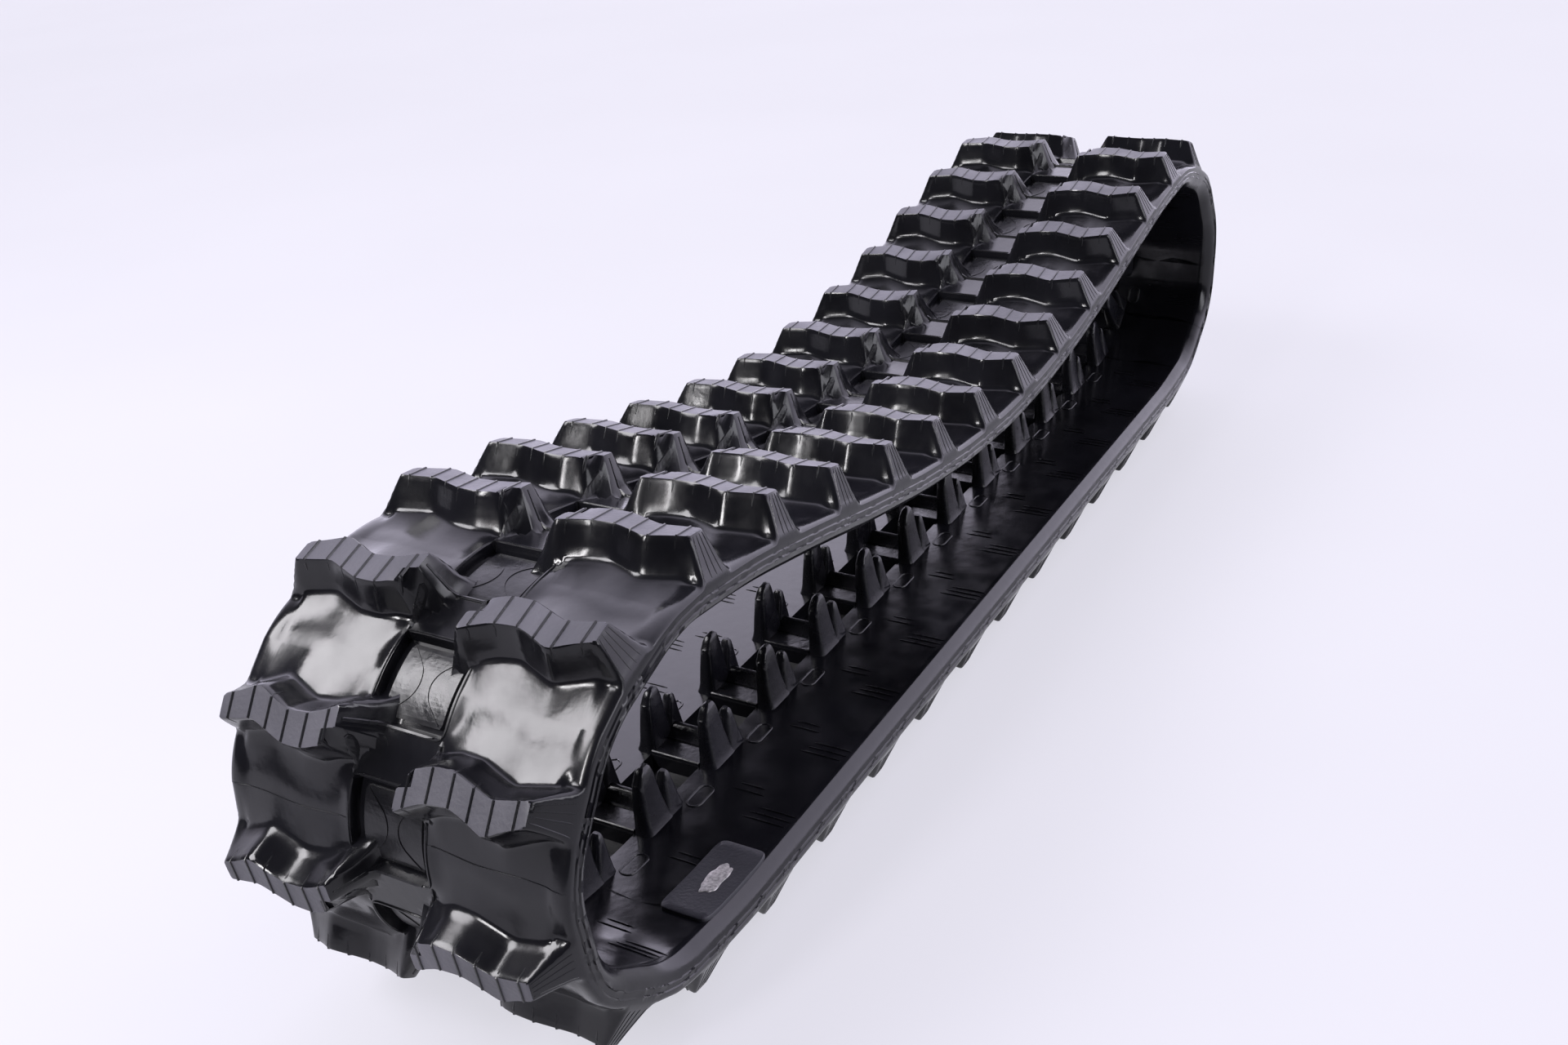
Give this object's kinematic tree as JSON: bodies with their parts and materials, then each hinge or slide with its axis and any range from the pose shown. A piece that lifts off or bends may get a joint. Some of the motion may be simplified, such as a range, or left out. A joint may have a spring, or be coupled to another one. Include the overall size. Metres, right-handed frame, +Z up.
{
  "type": "rubber track",
  "caption": "Endless rubber track for a mini excavator, with staggered zigzag lugs outside, paired guide horns inside and steel cords in the belt.",
  "frame": {"origin": "on the ground under the middle of the closed loop", "axes": "+X along the track, from the splice end to the far end; +Y to its left; +Z up from the ground"},
  "size_m": [0.9358, 0.18, 0.2212],
  "materials": {
    "rubber": "glossy moulded black rubber",
    "iron": "black rubber-skinned forged iron",
    "steel_cord": "brass-plated steel cord",
    "pad_rubber": "satin black rubber with a silver paint dab"
  },
  "bodies": {
    "lower_run": {"rubber_lower_run": "rubber", "steel_cords_left_lower_run": "steel_cord", "steel_cords_right_lower_run": "steel_cord", "iron_core_28": "iron", "iron_core_29": "iron", "iron_core_30": "iron", "iron_core_31": "iron", "iron_core_32": "iron", "iron_core_33": "iron", "iron_core_01": "iron", "iron_core_02": "iron", "iron_core_03": "iron", "iron_core_04": "iron", "iron_core_05": "iron", "iron_core_06": "iron", "iron_core_07": "iron", "identification_pad": "pad_rubber"},
    "far_toe": {"rubber_far_toe": "rubber", "steel_cords_left_far_toe": "steel_cord", "steel_cords_right_far_toe": "steel_cord", "iron_core_08": "iron"},
    "far_end": {"rubber_far_end": "rubber", "steel_cords_left_far_end": "steel_cord", "steel_cords_right_far_end": "steel_cord", "iron_core_09": "iron", "iron_core_10": "iron"},
    "far_shoulder": {"rubber_far_shoulder": "rubber", "steel_cords_left_far_shoulder": "steel_cord", "steel_cords_right_far_shoulder": "steel_cord", "iron_core_11": "iron"},
    "upper_run": {"rubber_upper_run": "rubber", "steel_cords_left_upper_run": "steel_cord", "steel_cords_right_upper_run": "steel_cord", "iron_core_12": "iron", "iron_core_13": "iron", "iron_core_14": "iron", "iron_core_15": "iron", "iron_core_16": "iron", "iron_core_17": "iron", "iron_core_18": "iron", "iron_core_19": "iron", "iron_core_20": "iron", "iron_core_21": "iron", "iron_core_22": "iron", "iron_core_23": "iron"},
    "near_shoulder": {"rubber_near_shoulder": "rubber", "steel_cords_left_near_shoulder": "steel_cord", "steel_cords_right_near_shoulder": "steel_cord", "iron_core_24": "iron"},
    "near_end": {"rubber_near_end": "rubber", "steel_cords_left_near_end": "steel_cord", "steel_cords_right_near_end": "steel_cord", "iron_core_25": "iron", "iron_core_26": "iron"},
    "near_toe": {"rubber_near_toe": "rubber", "steel_cords_left_near_toe": "steel_cord", "steel_cords_right_near_toe": "steel_cord", "iron_core_27": "iron"}
  },
  "joints": [
    {"name": "near_toe_flex", "type": "hinge", "parent": "lower_run", "child": "near_toe", "pos_m": [-0.38915, 0, 0.03233], "axis": [0, -1, 0], "range_deg": [-8, 8], "stiffness_Nm_per_rad": 100, "springref_deg": -4.7},
    {"name": "near_end_flex", "type": "hinge", "parent": "near_toe", "child": "near_end", "pos_m": [-0.43593, 0, 0.06873], "axis": [0, 1, 0], "range_deg": [-9.4, 9.4]},
    {"name": "near_shoulder_flex", "type": "hinge", "parent": "near_end", "child": "near_shoulder", "pos_m": [-0.41092, 0, 0.17685], "axis": [0, 1, 0], "range_deg": [-6.1, 6.1]},
    {"name": "upper_run_flex", "type": "hinge", "parent": "near_shoulder", "child": "upper_run", "pos_m": [-0.35518, 0, 0.19773], "axis": [0, -1, 0], "range_deg": [-7.4, 7.4]},
    {"name": "far_shoulder_flex", "type": "hinge", "parent": "upper_run", "child": "far_shoulder", "pos_m": [0.35518, 0, 0.19773], "axis": [0, -1, 0], "range_deg": [-7.4, 7.4]},
    {"name": "far_end_flex", "type": "hinge", "parent": "far_shoulder", "child": "far_end", "pos_m": [0.41092, 0, 0.17685], "axis": [0, 1, 0], "range_deg": [-6.1, 6.1]},
    {"name": "far_toe_flex", "type": "hinge", "parent": "far_end", "child": "far_toe", "pos_m": [0.43593, 0, 0.06873], "axis": [0, 1, 0], "range_deg": [-9.4, 9.4]}
  ],
  "couplings": [
    {"joint": "near_end_flex", "follows": "near_toe_flex", "ratio": 1.161},
    {"joint": "near_shoulder_flex", "follows": "near_toe_flex", "ratio": 0.7489},
    {"joint": "upper_run_flex", "follows": "near_toe_flex", "ratio": 0.9098},
    {"joint": "far_shoulder_flex", "follows": "near_toe_flex", "ratio": 0.9098},
    {"joint": "far_end_flex", "follows": "near_toe_flex", "ratio": 0.7489},
    {"joint": "far_toe_flex", "follows": "near_toe_flex", "ratio": 1.161}
  ]
}
